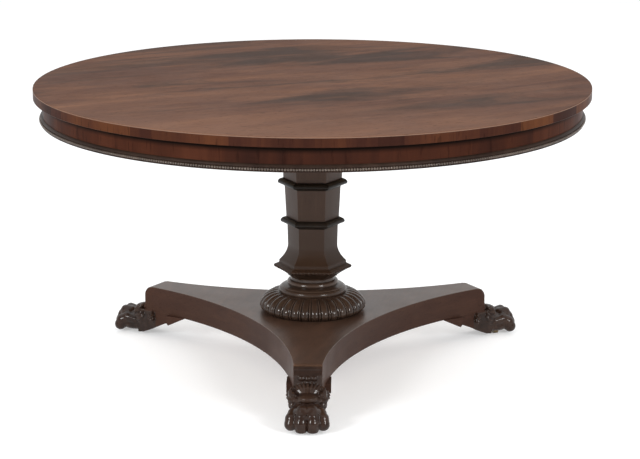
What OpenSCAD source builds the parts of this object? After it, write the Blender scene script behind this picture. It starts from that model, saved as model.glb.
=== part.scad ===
// Round tilt-top centre table on a hexagonal column, a three-cornered platform and paw feet.
// Millimetres. The floor is z = 0, the axis of the column is x = y = 0, the front leg points to -Y.

/* [Top] */
// Height of the top face above the floor
table_h = 730; // [710:1:760]
// Diameter of the top
top_d = 1400; // [1320:5:1500]
// Thickness of the top at its edge
top_t = 25; // [20:1:30]
// Thickness of the veneers
veneer_t = 1.5; // [1.5:0.5:2.5]
// Thickness of the cross-grain facing round the edge
banding_t = 2; // [1:0.5:4]
// Radius of the soft arris at the top and bottom of the edge
arris_r = 1.2; // [0.4:0.2:1.4]
// Number of boards in the ground of the top
board_count = 7; // [4:1:10]

/* [Frieze] */
// Depth of the frieze below the top
frieze_h = 60; // [52:1:75]
// How far the face of the frieze stands in from the edge of the top
frieze_inset = 22; // [15:1:40]
// Thickness of the curved frieze blocks
brick_t = 22; // [16:1:30]
// Number of curved blocks in the ring
brick_count = 20; // [14:1:28]
// Height of the beaded moulding
bead_h = 18; // [12:1:24]
// How far the beaded moulding stands proud of the frieze
bead_proud = 9; // [5:1:12]
// Number of glue blocks inside the frieze
glue_block_count = 16; // [8:2:20]
// Leg of the glue blocks' triangle
glue_block_t = 28; // [15:1:35]

/* [Tilting block] */
// Width of the block between the bearers
block_w = 240; // [200:5:280]
// Thickness of the block
block_t = 50; // [44:1:55]
// From the axis of the column to the front of the block
block_front = 150; // [110:5:170]
// From the axis of the column to the pivot pins
pin_back = 175; // [170:1:200]
// From the underside of the top to the pivot pins
pin_drop = 30; // [24:1:32]
// Diameter of the pivot pins
pin_d = 16; // [10:1:20]
// How deep the pivot pins sit in the block
pin_seat = 50; // [30:1:80]
// Width of each bearer
bearer_w = 45; // [35:1:60]
// Depth of each bearer
bearer_h = 45; // [42:1:50]
// From the ends of the bearers to the glue blocks
bearer_gap = 15; // [5:1:120]
// Number of screws through each bearer
bearer_screw_count = 5; // [3:1:7]

/* [Slide bolt] */
// Diameter of the bolt
bolt_d = 10; // [6:1:12]
// Travel of the bolt
bolt_travel = 15; // [10:1:18]
// Length of the bolt's case
case_l = 70; // [60:1:90]
// Width of the bolt's case
case_w = 36; // [30:1:45]
// Thickness of the plates of the case and the keep
plate_t = 2.5; // [2:0.5:3]

/* [Column] */
// Turn of the hexagonal column on the platform
column_turn = -1.5; // [-10:0.5:10]
// Diameter of the core that ties the column together
core_d = 48; // [36:1:52]
// Corner radius of the upper shaft under the block
upper_top_r = 80; // [74:1:90]
// Corner radius of the upper shaft on the upper collar
upper_foot_r = 75; // [70:1:80]
// Corner radius of the middle shaft under the upper collar
middle_top_r = 71.5; // [68:0.5:76]
// Corner radius of the middle shaft on the lower collar
middle_foot_r = 67.3; // [62:0.1:72]
// Corner radius of the lower shaft under the lower collar
lower_top_r = 64.7; // [60:0.1:68]
// Corner radius at the waist of the lower shaft
waist_r = 63.4; // [58:0.1:66]
// Corner radius at the foot of the flare
flare_r = 89; // [80:1:92]
// Height of the flare
flare_h = 50; // [30:1:60]
// Height of the lower shaft with its flare
lower_shaft_h = 100; // [80:1:120]
// Height of the middle shaft
middle_shaft_h = 80; // [60:1:100]
// Height of the collars
collar_h = 21; // [16:1:26]
// How far the collars stand proud of the shaft below
collar_proud = 17.5; // [10:0.5:22]
// Corner radius of the lip under the flare
lip_r = 99.4; // [94:0.1:105]
// Height of the lip and its bevel
lip_h = 34; // [28:1:40]

/* [Turned foot of the column] */
// Radius of the neck
neck_r = 61; // [56:1:64]
// Height of the neck
neck_h = 13; // [8:1:20]
// Radius at the foot of the cushion
cushion_r = 78; // [72:1:84]
// Height of the cushion
cushion_h = 12; // [8:1:18]
// Greatest radius of the ring below the cushion
ring_r = 87; // [84:1:92]
// Height of the ring
ring_h = 14; // [10:1:18]
// Greatest radius of the gadrooned collar
gadroon_r = 136; // [120:1:142]
// Height of the gadrooned collar
gadroon_h = 51; // [40:1:60]

/* [Platform] */
// Height of the top of the platform above the floor
platform_h = 138; // [130:1:150]
// Thickness of the platform
platform_t = 68; // [60:1:72]
// Radius of the hollow sides
hollow_r = 920; // [880:1:960]
// From the axis to the middle of a hollow side
hollow_mid = 180; // [174:1:190]
// From the axis to the end of each arm
arm_l = 480; // [470:1:490]

/* [Feet] */
// How far the knee reaches in front of the arm
knee_l = 66; // [60:1:70]
// Depth of the flat end of the knee
knee_end_l = 26; // [22:1:30]
// Half of the width of the knee at its tuft
knee_half_w = 47; // [44:1:50]
// From the end of the arm to the tips of the toes
toe_ahead = 137; // [130:1:145]
// Half of the width across the toes
paw_half_w = 55; // [52:1:58]
// Height of the underside of the paws above the floor
paw_lift = 5; // [3:1:6]
// From the end of the arm back to the start of the bracket
bracket_l = 115; // [100:1:130]
// Half of the width of the bracket's lip
bracket_half_w = 54; // [48:1:56]

/* [Castors] */
// From the end of the arm to the swivel of the castor
castor_ahead = 76; // [72:1:80]
// Radius of the wheels
wheel_r = 14; // [12:0.5:15]
// Width of the wheels
wheel_w = 12; // [8:1:14]
// Distance of the wheel behind the swivel
trail = 15; // [10:1:16]
// Diameter of the axle
axle_d = 5; // [4:0.5:6]
// Diameter of the swivel stem
stem_d = 8; // [6:0.5:9]

/* [Hidden] */
$fn = 96;

// Clearances: glued or driven joints, running fits, and parts that only rest on each other
glue_gap = 0.05;
glue_line = 0.2;
run_gap = 0.05;
rest_gap = 0.3;
eps = 1;

// Heights that follow from the driving sizes
top_r = top_d / 2;
under_z = table_h - top_t;
board_r = top_r - banding_t;
frieze_r = top_r - frieze_inset;
brick_r = frieze_r - veneer_t;
frieze_z = under_z - frieze_h;
block_top_z = under_z - rest_gap;
block_z = block_top_z - block_t;
pin_z = under_z - pin_drop;
pin_r = pin_d / 2;
heel_r = pin_drop - rest_gap;
bearer_in = block_w / 2 + rest_gap;
bearer_z = under_z - bearer_h;
inside_r = brick_r - brick_t - glue_block_t;
bearer_l = 2 * (sqrt(pow(inside_r, 2) - pow(bearer_in + bearer_w, 2)) - bearer_gap);
platform_z = platform_h - platform_t;
ring_z = platform_h + gadroon_h;
cushion_z = ring_z + ring_h;
neck_z = cushion_z + cushion_h;
lip_z = neck_z + neck_h;
lower_shaft_z = lip_z + lip_h;
lower_collar_z = lower_shaft_z + lower_shaft_h;
middle_shaft_z = lower_collar_z + collar_h;
upper_collar_z = middle_shaft_z + middle_shaft_h;
upper_shaft_z = upper_collar_z + collar_h;
core_r = core_d / 2;
castor_reach = arm_l + castor_ahead;
toe_reach = arm_l + toe_ahead;
bracket_start = arm_l - bracket_l;

// The three legs, from the front leg round through the right one
leg_angles = [-90, 30, 150];
hollow_reach = hollow_mid + hollow_r;
// Half of the width of an arm at a distance from the axis
function arm_half_w(u) =
    hollow_reach * sin(60) - sqrt(pow(hollow_r, 2) - pow(hollow_reach * cos(60) - u, 2));
arm_end_w = arm_half_w(arm_l);
// Half of the angle that a hollow side spans about its own centre
hollow_angle = asin((arm_l * sin(60) - arm_end_w * cos(60)) / hollow_r);

// Screws: shank and head, and the pilot depth in the wood behind
screw_r = 2.5;
screw_head_r = 5;
screw_head_t = 2.5;
small_screw_r = 1.5;
small_head_r = 3;
small_head_t = 1.5;

// Points of a quarter ellipse from (x + a, y) up to (x, y + b), or back
function bulge(x, y, a, b, n = 8) =
    [for (i = [0 : n]) [x + a * cos(90 * i / n), y + b * sin(90 * i / n)]];

// The point at a distance from the axis in a direction
function ray(angle, distance) = [distance * cos(angle), distance * sin(angle)];

// A ring of hexagonal section, with a corner on +X before the column's turn
module hex_turned(outline) {
    rotate([0, 0, column_turn])
        rotate_extrude($fn = 6)
            polygon(outline);
}

// The hole that the core passes through
module core_hole(z, h) {
    translate([0, 0, z - eps])
        cylinder(r = core_r + glue_gap, h = h + 2 * eps);
}

// A countersunk screw that points up from its head, with a slot across the head
module screw(l, r, head_r, head_t) {
    slot_w = head_r * 0.2;
    difference() {
        union() {
            cylinder(r = head_r, h = head_t);
            cylinder(r = r, h = l, $fn = 32);
        }
        translate([-head_r - eps, -slot_w / 2, -eps])
            cube([2 * (head_r + eps), slot_w, eps + head_t / 3]);
    }
}

// The hole that such a screw fills, open below its head
module screw_hole(l, r, head_r, head_t) {
    translate([0, 0, -eps])
        cylinder(r = head_r + glue_gap, h = head_t + glue_gap + eps);
    cylinder(r = r + glue_gap, h = l + glue_gap, $fn = 32);
}

/* The top, which tilts */

module top_boards() {
    board_w = 2 * board_r / board_count;
    board_t = top_t - veneer_t;
    last = board_count - 1;
    color([0.50, 0.36, 0.24])
        difference() {
            for (i = [0 : last])
                intersection() {
                    translate([0, 0, under_z])
                        cylinder(r = board_r, h = board_t, $fn = 180);
                    translate([-board_r - eps, -board_r + i * board_w, under_z])
                        cube([2 * (board_r + eps), board_w - (i < last ? glue_line : 0), board_t]);
                }
            bearer_screw_sites() screw_hole(bearer_screw_l, screw_r, screw_head_r, screw_head_t);
            catch_screw_sites() screw_hole(catch_screw_l, small_screw_r, small_head_r, small_head_t);
        }
}

module top_veneer() {
    color([0.42, 0.30, 0.24])
        translate([0, 0, table_h - veneer_t])
            rotate_extrude($fn = 180)
                polygon(concat([[0, 0], [top_r, 0]],
                    bulge(top_r - arris_r, veneer_t - arris_r, arris_r, arris_r, 4), [[0, veneer_t]]));
}

module edge_banding() {
    color([0.33, 0.19, 0.13])
        translate([0, 0, under_z])
            rotate_extrude($fn = 180)
                polygon([[board_r, 0], [top_r - arris_r, 0], [top_r, arris_r], [top_r, top_t - veneer_t],
                    [board_r, top_t - veneer_t]]);
}

module frieze_bricks() {
    line_angle = glue_line / brick_r * 180 / PI;
    color([0.50, 0.36, 0.24])
        for (i = [0 : brick_count - 1])
            rotate([0, 0, i * 360 / brick_count])
                translate([0, 0, frieze_z])
                    rotate_extrude(angle = 360 / brick_count - line_angle, $fn = 180)
                        translate([brick_r - brick_t, 0])
                            square([brick_t, frieze_h]);
}

module frieze_veneer() {
    color([0.30, 0.17, 0.12])
        translate([0, 0, frieze_z])
            rotate_extrude($fn = 180)
                translate([brick_r, 0])
                    square([veneer_t, frieze_h]);
}

// The section of the moulding: a fillet below, the half-round that the pearls are cut from, and a
// cove above. The points are shares of the moulding's projection and height
bead_fillet = [[0, 0], [0.55, 0], [0.75, 0.14], [0.6, 0.28]];
bead_cove = [[0.35, 0.83], [0.15, 1], [0, 1]];
bead_round = 0.22;
function bead_points(shares) = [for (p = shares) [frieze_r + bead_proud * p[0], bead_h * p[1]]];

module bead_moulding() {
    round_r = bead_h * bead_round;
    round_z = bead_h * bead_fillet[3][1] + round_r;
    nose = [for (a = [-60 : 30 : 90])
        [frieze_r + bead_proud - round_r + round_r * cos(a), round_z + round_r * sin(a)]];
    color([0.36, 0.30, 0.26])
        translate([0, 0, frieze_z])
            rotate_extrude($fn = 180)
                polygon(concat(bead_points(bead_fillet), nose, bead_points(bead_cove)));
}

module glue_blocks() {
    face_r = brick_r - brick_t;
    block_angle = 5;
    color([0.56, 0.42, 0.28])
        for (i = [0 : glue_block_count - 1])
            rotate([0, 0, (i + 0.5) * 360 / glue_block_count - block_angle / 2])
                rotate_extrude(angle = block_angle, $fn = 180)
                    polygon([[face_r, under_z - glue_block_t], [face_r, under_z],
                        [face_r - glue_block_t, under_z]]);
}

// A bearer with its ends cut away below, and the pivot hole near its back
bearer_nose_t = 20;
bearer_nose_l = 120;
module bearer(side) {
    color([0.45, 0.29, 0.19])
        difference() {
            translate([side * bearer_in, 0, 0])
                rotate([90, 0, 90])
                    linear_extrude(height = 2 * bearer_w, center = true)
                        polygon([[-bearer_l / 2, under_z], [-bearer_l / 2, under_z - bearer_nose_t],
                            [-bearer_l / 2 + bearer_nose_l, bearer_z],
                            [bearer_l / 2 - bearer_nose_l, bearer_z],
                            [bearer_l / 2, under_z - bearer_nose_t], [bearer_l / 2, under_z]]);
            translate([side > 0 ? -eps : -bearer_in, -bearer_l, bearer_z - eps])
                cube([bearer_in + eps, 2 * bearer_l, bearer_h + 2 * eps]);
            translate([side * (bearer_in + bearer_w / 2), pin_back, pin_z])
                rotate([0, 90, 0])
                    cylinder(r = pin_r + run_gap, h = 3 * bearer_w, center = true);
            bearer_screw_sites() {
                screw_hole(bearer_screw_l, screw_r, screw_head_r, screw_head_t);
                translate([0, 0, bearer_z - bearer_screw_z - eps])
                    cylinder(r = screw_head_r + glue_gap, h = bearer_screw_z - bearer_z + 2 * eps);
            }
        }
}

// The bearer screws stand in a sunk hole, with their points in the boards. They are set forward to
// keep clear of the pivot pins
bearer_screw_l = 32;
bearer_screw_z = under_z + top_t / 2 - bearer_screw_l;
bearer_screw_margin = 20;
screw_shift = -30;
module bearer_screw_sites() {
    span = bearer_l - 2 * (bearer_nose_l + bearer_screw_margin);
    pitch = span / (bearer_screw_count - 1);
    for (side = [-1, 1])
        for (i = [0 : bearer_screw_count - 1])
            translate([side * (bearer_in + bearer_w / 2), screw_shift - span / 2 + i * pitch,
                bearer_screw_z])
                children();
}

module bearer_screws() {
    color([0.45, 0.43, 0.40])
        bearer_screw_sites() screw(bearer_screw_l, screw_r, screw_head_r, screw_head_t);
}

/* The slide bolt, under the top in front of the block */

bolt_r = bolt_d / 2;
case_gap = 3;
staple_l = bolt_travel - 1;
case_y = -block_front - staple_l - case_gap - case_l;
barrel_wall = 3;
barrel_w = bolt_d + 2 * barrel_wall;
barrel_z = under_z - plate_t - barrel_w;
bolt_z = under_z - plate_t - barrel_w / 2;
bolt_l = case_l - bolt_travel + barrel_wall;
knob_r = 3;
knob_neck_r = knob_r * 0.6;
knob_head_r = knob_r * 2;
knob_drop = 16;
knob_ahead = 11;
knob_start = case_y + case_l - bolt_l + knob_ahead;

module catch_case() {
    color([0.66, 0.52, 0.28])
        difference() {
            union() {
                translate([-case_w / 2, case_y, under_z - plate_t])
                    cube([case_w, case_l, plate_t]);
                translate([-barrel_w / 2, case_y, barrel_z])
                    cube([barrel_w, case_l, barrel_w]);
            }
            translate([0, case_y - eps, bolt_z])
                rotate([-90, 0, 0])
                    cylinder(r = bolt_r + run_gap, h = case_l + 2 * eps);
            translate([-knob_r - rest_gap, knob_start - knob_r - rest_gap, barrel_z - eps])
                cube([2 * (knob_r + rest_gap), bolt_travel + 2 * (knob_r + rest_gap), barrel_w / 2 + eps]);
            catch_screw_sites() screw_hole(catch_screw_l, small_screw_r, small_head_r, small_head_t);
        }
}

catch_screw_l = 12;
catch_screw_shares = [0.12, 0.88];
module catch_screw_sites() {
    for (side = [-1, 1])
        for (share = catch_screw_shares)
            translate([side * (case_w + barrel_w) / 4, case_y + case_l * share, under_z - plate_t])
                children();
}

module catch_screws() {
    color([0.66, 0.52, 0.28])
        catch_screw_sites() screw(catch_screw_l, small_screw_r, small_head_r, small_head_t);
}

module catch_bolt() {
    color([0.66, 0.52, 0.28])
        difference() {
            translate([0, case_y + case_l - bolt_l, bolt_z])
                rotate([-90, 0, 0])
                    cylinder(r = bolt_r, h = bolt_l);
            translate([0, knob_start, barrel_z - eps])
                cylinder(r = knob_neck_r + glue_gap, h = barrel_w / 2 + eps, $fn = 32);
        }
}

module catch_knob() {
    color([0.66, 0.52, 0.28])
        translate([0, knob_start, 0]) {
            translate([0, 0, bolt_z - bolt_r - knob_drop / 2])
                cylinder(r = knob_neck_r, h = bolt_r + knob_drop / 2, $fn = 32);
            translate([0, 0, bolt_z - bolt_r - knob_drop])
                cylinder(r = knob_head_r, h = knob_drop / 2, $fn = 48);
        }
}

// The keep: a plate let into the front of the block, with a staple on it that the bolt slides
// into. The staple is open below
keep_w = 38;
keep_h = 26;
keep_z = bolt_z - keep_h / 2;
keep_top_z = min(keep_z + keep_h, block_top_z);
keep_screw_l = 14;
staple_wall = 3.5;
staple_gap = 0.5;
staple_half_w = bolt_r + staple_gap + staple_wall;
module keep_screw_sites() {
    for (side = [-1, 1])
        translate([side * (staple_half_w + keep_w / 2) / 2, -block_front, bolt_z])
            rotate([-90, 0, 0])
                children();
}

module catch_keep() {
    staple_top = bolt_z + bolt_r + staple_gap + staple_wall;
    staple_z = bolt_z - bolt_r;
    color([0.66, 0.52, 0.28])
        difference() {
            union() {
                translate([-keep_w / 2, -block_front, keep_z])
                    cube([keep_w, plate_t, keep_top_z - keep_z]);
                translate([-staple_half_w, -block_front - staple_l, staple_z])
                    cube([2 * staple_half_w, staple_l, staple_top - staple_z]);
            }
            translate([-bolt_r - staple_gap, -block_front - staple_l - eps, staple_z - eps])
                cube([2 * (bolt_r + staple_gap), staple_l + eps, 2 * bolt_r + staple_gap + eps]);
            keep_screw_sites() screw_hole(keep_screw_l, small_screw_r, small_head_r, small_head_t);
        }
}

module keep_screws() {
    color([0.66, 0.52, 0.28])
        keep_screw_sites() screw(keep_screw_l, small_screw_r, small_head_r, small_head_t);
}

/* The pedestal */

// The back of the block is rounded about the pins, so that the top can turn past it
module pillar_block() {
    color([0.40, 0.25, 0.16])
        difference() {
            rotate([90, 0, 90])
                linear_extrude(height = block_w, center = true)
                    union() {
                        translate([-block_front, block_z])
                            square([block_front + pin_back, block_t]);
                        intersection() {
                            translate([pin_back, pin_z])
                                circle(r = heel_r);
                            translate([pin_back - eps, pin_z])
                                square([heel_r + 2 * eps, heel_r + eps]);
                        }
                        translate([pin_back - eps, block_z])
                            square([heel_r + eps, pin_z - block_z]);
                    }
            core_hole(block_z, block_t);
            for (side = [-1, 1])
                translate([side * block_w / 2, pin_back, pin_z])
                    rotate([0, 90, 0])
                        cylinder(r = pin_r + glue_gap, h = 2 * (pin_seat + glue_gap), center = true);
            translate([-keep_w / 2 - glue_gap, -block_front - eps, keep_z - glue_gap])
                cube([keep_w + 2 * glue_gap, plate_t + glue_gap + eps, keep_h + eps]);
            keep_screw_sites() screw_hole(keep_screw_l, small_screw_r, small_head_r, small_head_t);
        }
}

module pivot_pins() {
    color([0.38, 0.36, 0.34])
        for (side = [-1, 1])
            translate([side * (block_w / 2 + (bearer_w - pin_seat) / 2), pin_back, pin_z])
                rotate([0, 90, 0])
                    cylinder(r = pin_r, h = bearer_w + pin_seat, center = true);
}

wedge_t = 4;
wedge_h = 38;
module column_core() {
    bolt_hole_r = pedestal_bolt_r + glue_gap;
    color([0.46, 0.30, 0.20])
        difference() {
            translate([0, 0, platform_z + core_rise])
                cylinder(r = core_r, h = block_top_z - rest_gap - platform_z - core_rise);
            translate([-wedge_t / 2 - glue_gap, -core_r - eps, block_top_z - wedge_h])
                cube([wedge_t + 2 * glue_gap, 2 * (core_r + eps), wedge_h + eps]);
            translate([0, 0, platform_z - eps])
                cylinder(r = bolt_hole_r, h = pedestal_bolt_l, $fn = 48);
        }
}
core_rise = 1;

module tenon_wedge() {
    color([0.62, 0.48, 0.30])
        intersection() {
            translate([-wedge_t / 2, -core_r, block_top_z - wedge_h])
                cube([wedge_t, 2 * core_r, wedge_h - rest_gap]);
            cylinder(r = core_r, h = table_h);
        }
}

module upper_shaft() {
    h = block_z - upper_shaft_z;
    color([0.26, 0.19, 0.16])
        difference() {
            translate([0, 0, upper_shaft_z])
                hex_turned([[0, 0], [upper_foot_r, 0], [upper_top_r, h], [0, h]]);
            core_hole(upper_shaft_z, h);
        }
}

// A rounded nose above and a straight bevel back to the shaft below
bevel_step = 2;
nose_soft = 1.5;
module collar(z, above_r, below_r) {
    nose_r = below_r + collar_proud;
    tip_z = collar_h * 0.52;
    difference() {
        translate([0, 0, z])
            hex_turned(concat(
                [[0, 0], [below_r, 0], [below_r + bevel_step, bevel_step],
                    [nose_r - nose_soft, tip_z - 2 * nose_soft]],
                bulge(above_r, tip_z, nose_r - above_r, collar_h - tip_z, 5), [[0, collar_h]]));
        core_hole(z, collar_h);
    }
}

module upper_collar() {
    color([0.10, 0.08, 0.07])
        collar(upper_collar_z, upper_foot_r, middle_top_r);
}

module middle_shaft() {
    color([0.26, 0.19, 0.16])
        difference() {
            translate([0, 0, middle_shaft_z])
                hex_turned([[0, 0], [middle_foot_r, 0], [middle_top_r, middle_shaft_h],
                    [0, middle_shaft_h]]);
            core_hole(middle_shaft_z, middle_shaft_h);
        }
}

module lower_collar() {
    color([0.10, 0.08, 0.07])
        collar(lower_collar_z, middle_foot_r, lower_top_r);
}

// The flare widens with a power of the way down
module lower_shaft() {
    steps = 8;
    flare_power = 1.8;
    color([0.24, 0.17, 0.14])
        difference() {
            translate([0, 0, lower_shaft_z])
                hex_turned(concat([[0, 0]],
                    [for (i = [0 : steps])
                        [waist_r + (flare_r - waist_r) * pow(1 - i / steps, flare_power),
                            flare_h * i / steps]],
                    [[lower_top_r, lower_shaft_h], [0, lower_shaft_h]]));
            core_hole(lower_shaft_z, lower_shaft_h);
        }
}

// A bevel that widens from the neck to the lip, and the lip's rounded nose
module column_lip() {
    nose_h = lip_h * 0.32;
    tip_z = lip_h - nose_h * 0.75;
    shoulder_r = flare_r + nose_soft;
    color([0.22, 0.17, 0.14])
        difference() {
            translate([0, 0, lip_z])
                hex_turned(concat([[0, 0], [neck_r + nose_soft, 0], [lip_r - nose_soft, lip_h - nose_h]],
                    bulge(shoulder_r, tip_z, lip_r - shoulder_r, lip_h - tip_z, 4), [[0, lip_h]]));
            core_hole(lip_z, lip_h);
        }
}

module turned(z, h, outline) {
    difference() {
        translate([0, 0, z])
            rotate_extrude()
                polygon(outline);
        core_hole(z, h);
    }
}

module turned_neck() {
    waist = 1;
    color([0.24, 0.18, 0.15])
        turned(neck_z, neck_h, [[0, 0], [neck_r + waist, 0], [neck_r, neck_h * 0.3],
            [neck_r - waist, neck_h * 0.6], [neck_r, neck_h], [0, neck_h]]);
}

module turned_cushion() {
    color([0.24, 0.18, 0.15])
        turned(cushion_z, cushion_h, concat([[0, 0]],
            bulge(neck_r, 0, cushion_r - neck_r, cushion_h, 8), [[0, cushion_h]]));
}

module cushion_ring() {
    tip_z = ring_h * 0.4;
    shoulder_r = cushion_r - 1;
    under = 2.5;
    color([0.24, 0.18, 0.15])
        turned(ring_z, ring_h, concat(
            [[0, 0], [ring_r - under, 0], [ring_r - under / 3, tip_z / 2]],
            bulge(shoulder_r, tip_z, ring_r - shoulder_r, ring_h - tip_z, 6), [[0, ring_h]]));
}

// The body that the lobes are carved on, rolled under at its foot
module gadroon_collar() {
    tip_z = gadroon_h * 0.27;
    shoulder_r = ring_r - 1;
    under = 9;
    color([0.22, 0.17, 0.14])
        turned(platform_h, gadroon_h, concat(
            [[0, 0], [gadroon_r - under, 0], [gadroon_r - under / 2, tip_z * 0.35],
                [gadroon_r - 1, tip_z * 0.8]],
            bulge(shoulder_r, tip_z, gadroon_r - shoulder_r, gadroon_h - tip_z, 10),
            [[0, gadroon_h]]));
}

/* The platform, with three hollow sides */

module platform_plan(inset = 0) {
    corner_w = 1.5 * arm_end_w;
    difference() {
        polygon([for (a = leg_angles) for (s = [-1, 1])
            [arm_l * cos(a) - s * corner_w * sin(a), arm_l * sin(a) + s * corner_w * cos(a)]]);
        for (a = leg_angles)
            rotate([0, 0, a + 60])
                translate([hollow_reach, 0])
                    circle(r = hollow_r + inset, $fn = 180);
    }
}

// One arm reaches from the mitres at the axis to the foot
module arm(angle) {
    far = 2 * arm_l;
    color([0.42, 0.27, 0.18])
        difference() {
            translate([0, 0, platform_z])
                linear_extrude(height = platform_t - veneer_t)
                    intersection() {
                        platform_plan(veneer_t);
                        polygon([[0, 0], ray(angle - 60, far), ray(angle, far), ray(angle + 60, far)]);
                    }
            core_hole(platform_z, platform_t);
            knee_dowel_sites() dowel(dowel_r + glue_gap, 2 * (dowel_l / 2 + glue_gap));
            foot_dowel_sites() dowel(dowel_r + glue_gap, 2 * (dowel_l / 2 + glue_gap));
            spider_screw_sites() screw_hole(spider_screw_l, screw_r, screw_head_r, screw_head_t);
        }
}

module platform_top_veneer() {
    color([0.32, 0.26, 0.22])
        difference() {
            translate([0, 0, platform_h - veneer_t])
                linear_extrude(height = veneer_t)
                    platform_plan();
            core_hole(platform_h - veneer_t, veneer_t);
        }
}

module platform_side_veneer() {
    color([0.30, 0.22, 0.18])
        for (a = leg_angles)
            rotate([0, 0, a + 60])
                translate([hollow_reach, 0, platform_z])
                    rotate([0, 0, 180 - hollow_angle])
                        rotate_extrude(angle = 2 * hollow_angle, $fn = 180)
                            translate([hollow_r, 0])
                                square([veneer_t, platform_t - veneer_t]);
}

// A three-armed iron plate under the mitres, held by two screws in each arm
spider_t = 3;
spider_l = hollow_mid * 0.78;
spider_w = 32;
spider_hub_r = core_r * 1.4;
spider_screw_l = 25;
module spider_screw_sites() {
    for (a = leg_angles)
        for (share = [0.5, 0.85])
            rotate([0, 0, a])
                translate([spider_l * share, 0, platform_z - spider_t])
                    children();
}

module spider_plate() {
    color([0.20, 0.19, 0.18])
        difference() {
            translate([0, 0, platform_z - spider_t])
                union() {
                    cylinder(r = spider_hub_r, h = spider_t);
                    for (a = leg_angles)
                        rotate([0, 0, a])
                            translate([0, -spider_w / 2, 0])
                                cube([spider_l, spider_w, spider_t]);
                }
            translate([0, 0, platform_z - spider_t - eps])
                cylinder(r = pedestal_bolt_r + glue_gap, h = spider_t + 2 * eps, $fn = 48);
            spider_screw_sites() screw_hole(spider_screw_l, screw_r, screw_head_r, screw_head_t);
        }
}

module spider_screws() {
    color([0.38, 0.36, 0.34])
        spider_screw_sites() screw(spider_screw_l, screw_r, screw_head_r, screw_head_t);
}

// The bolt that pulls the column down on the platform
pedestal_bolt_r = 8;
pedestal_bolt_l = 230;
washer_t = 3;
nut_h = 12;
nut_r = 15;
washer_r = nut_r * 1.4;
thread_past_nut = 2;
module pedestal_bolt() {
    color([0.38, 0.36, 0.34])
        translate([0, 0, platform_z - spider_t - washer_t - nut_h - thread_past_nut])
            cylinder(r = pedestal_bolt_r, h = pedestal_bolt_l, $fn = 48);
}

module pedestal_washer() {
    color([0.38, 0.36, 0.34])
        translate([0, 0, platform_z - spider_t - washer_t])
            difference() {
                cylinder(r = washer_r, h = washer_t);
                translate([0, 0, -eps])
                    cylinder(r = pedestal_bolt_r + glue_gap, h = washer_t + 2 * eps, $fn = 48);
            }
}

module pedestal_nut() {
    color([0.38, 0.36, 0.34])
        translate([0, 0, platform_z - spider_t - washer_t - nut_h])
            difference() {
                cylinder(r = nut_r, h = nut_h, $fn = 6);
                translate([0, 0, -eps])
                    cylinder(r = pedestal_bolt_r + glue_gap, h = nut_h + 2 * eps, $fn = 48);
            }
}

/* The feet. In a foot's own frame x runs outward along its leg */

dowel_r = 5;
dowel_l = 40;
module dowel(r, l) {
    cylinder(r = r, h = l, center = true, $fn = 32);
}

knee_dowel_z = platform_z + platform_t * 0.5;
module knee_dowel_sites() {
    for (a = leg_angles)
        for (side = [-1, 1])
            rotate([0, 0, a])
                translate([arm_l, side * arm_end_w * 0.5, knee_dowel_z])
                    rotate([0, 90, 0])
                        children();
}

// Two dowels join each bracket to its arm, and two each paw to its knee
bracket_dowel_x = arm_l - bracket_l / 3;
paw_dowel_x = arm_l + knee_end_l / 2;
module foot_dowel_sites() {
    for (a = leg_angles)
        for (side = [-1, 1])
            for (x = [bracket_dowel_x, paw_dowel_x])
                rotate([0, 0, a])
                    translate([x, side * arm_end_w * 0.62, platform_z])
                        children();
}

module knee_dowels() {
    color([0.66, 0.52, 0.34])
        knee_dowel_sites() dowel(dowel_r, dowel_l);
}

module foot_dowels() {
    color([0.66, 0.52, 0.34])
        foot_dowel_sites() dowel(dowel_r, dowel_l);
}

// The end of the leg with its rounded top, and the tuft of hair that slopes down in front of it
knee_round = 24;
tuft_r = 10;
tuft_drop = 3;
tuft_rise = 24;
module tuft_lump(x, y, z) {
    translate([x, y, platform_z + z])
        sphere(r = tuft_r, $fn = 24);
}

module knee(angle) {
    tuft_x = arm_l + knee_l;
    end_x = arm_l + knee_end_l;
    tuft_side = knee_half_w - tuft_r;
    color([0.20, 0.16, 0.14])
        difference() {
            rotate([0, 0, angle])
                intersection() {
                    union() {
                        rotate([90, 0, 0])
                            linear_extrude(height = 2 * arm_end_w, center = true)
                                polygon(concat([[arm_l, platform_z], [end_x, platform_z]],
                                    bulge(end_x - knee_round, platform_h - knee_round,
                                        knee_round, knee_round),
                                    [[arm_l, platform_h]]));
                        hull() {
                            for (side = [-1, 1]) {
                                tuft_lump(end_x, side * (tuft_side - tuft_r / 2), tuft_r);
                                tuft_lump(tuft_x - 2 * tuft_r, side * tuft_side, -tuft_drop);
                                tuft_lump(tuft_x - tuft_r, side * 2 * tuft_r, -tuft_drop);
                                tuft_lump(end_x - tuft_r / 2, side * tuft_r, tuft_rise);
                            }
                        }
                    }
                    translate([arm_l, -knee_half_w - eps, platform_z])
                        cube([2 * knee_l, 2 * (knee_half_w + eps), platform_t]);
                }
            knee_dowel_sites() dowel(dowel_r + glue_gap, 2 * (dowel_l / 2 + glue_gap));
            foot_dowel_sites() dowel(dowel_r + glue_gap, 2 * (dowel_l / 2 + glue_gap));
        }
}

// The paw: a heel that runs back under the arm, the shank, the pad and four toes
heel_l = 10;
heel_start = arm_l - heel_l;
heel_half_w = 39;
heel_knee_l = 15;
sole_start = 35;
sole_rise = 2;
shank_l = 46;
shank_half_w = 43;
shank_back = 30;
pad_half_w = 34;
pad_l = 44;
pad_back = 29;
pad_rise = 4;
toe_r = 15;
knuckle_r = 17;
knuckle_drop = 20;
knuckle_ahead = 20;
knuckle_pitch = 23;
toe_arc = 12;
toe_inset = 2;
pad_z = paw_lift + toe_r;
module paw_ball(x, y, z, r) {
    translate([castor_reach + x, y, z])
        sphere(r = r, $fn = 24);
}

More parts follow.
